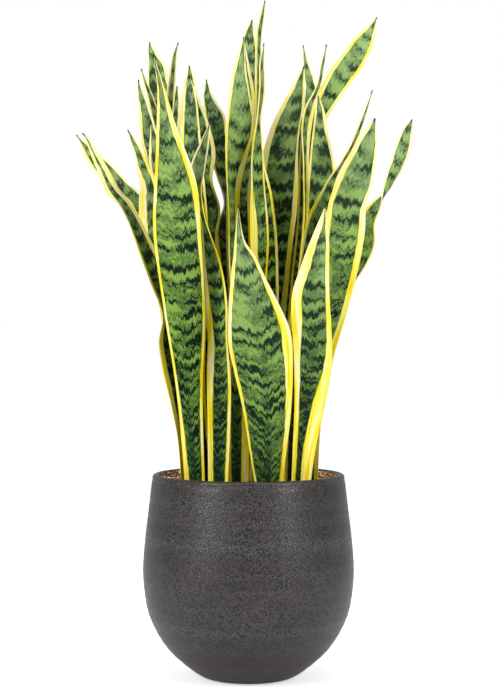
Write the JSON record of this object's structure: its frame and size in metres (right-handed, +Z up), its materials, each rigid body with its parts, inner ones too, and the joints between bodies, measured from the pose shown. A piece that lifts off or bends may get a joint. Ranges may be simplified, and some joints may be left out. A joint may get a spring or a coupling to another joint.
{
  "type": "potted laurentii snake plant",
  "caption": "Snake plant with upright, yellow-edged, dark-banded sword leaves standing in soil in a round-bellied dark stoneware pot.",
  "frame": {"origin": "centre of the pot's flat underside, on the surface that it stands on", "axes": "+Z up, along the pot's axis; +X to the right of the front view; +Y away from the viewer"},
  "size_m": [0.4477, 0.303, 0.897],
  "materials": {
    "pot": "satin",
    "soil": "matte",
    "leaf": "satin"
  },
  "bodies": {
    "root": {"pot": "pot", "soil": "soil", "leaf_01": "leaf", "leaf_02": "leaf", "leaf_03": "leaf", "leaf_04": "leaf", "leaf_05": "leaf", "leaf_06": "leaf", "leaf_07": "leaf", "leaf_08": "leaf", "leaf_09": "leaf", "leaf_10": "leaf", "leaf_11": "leaf", "leaf_12": "leaf", "leaf_13": "leaf", "leaf_14": "leaf", "leaf_15": "leaf", "leaf_16": "leaf", "leaf_17": "leaf", "leaf_18": "leaf", "leaf_19": "leaf", "leaf_20": "leaf", "leaf_21": "leaf", "leaf_22": "leaf", "leaf_23": "leaf", "leaf_24": "leaf", "leaf_25": "leaf", "leaf_26": "leaf", "leaf_27": "leaf", "leaf_28": "leaf", "leaf_29": "leaf"}
  },
  "joints": []
}
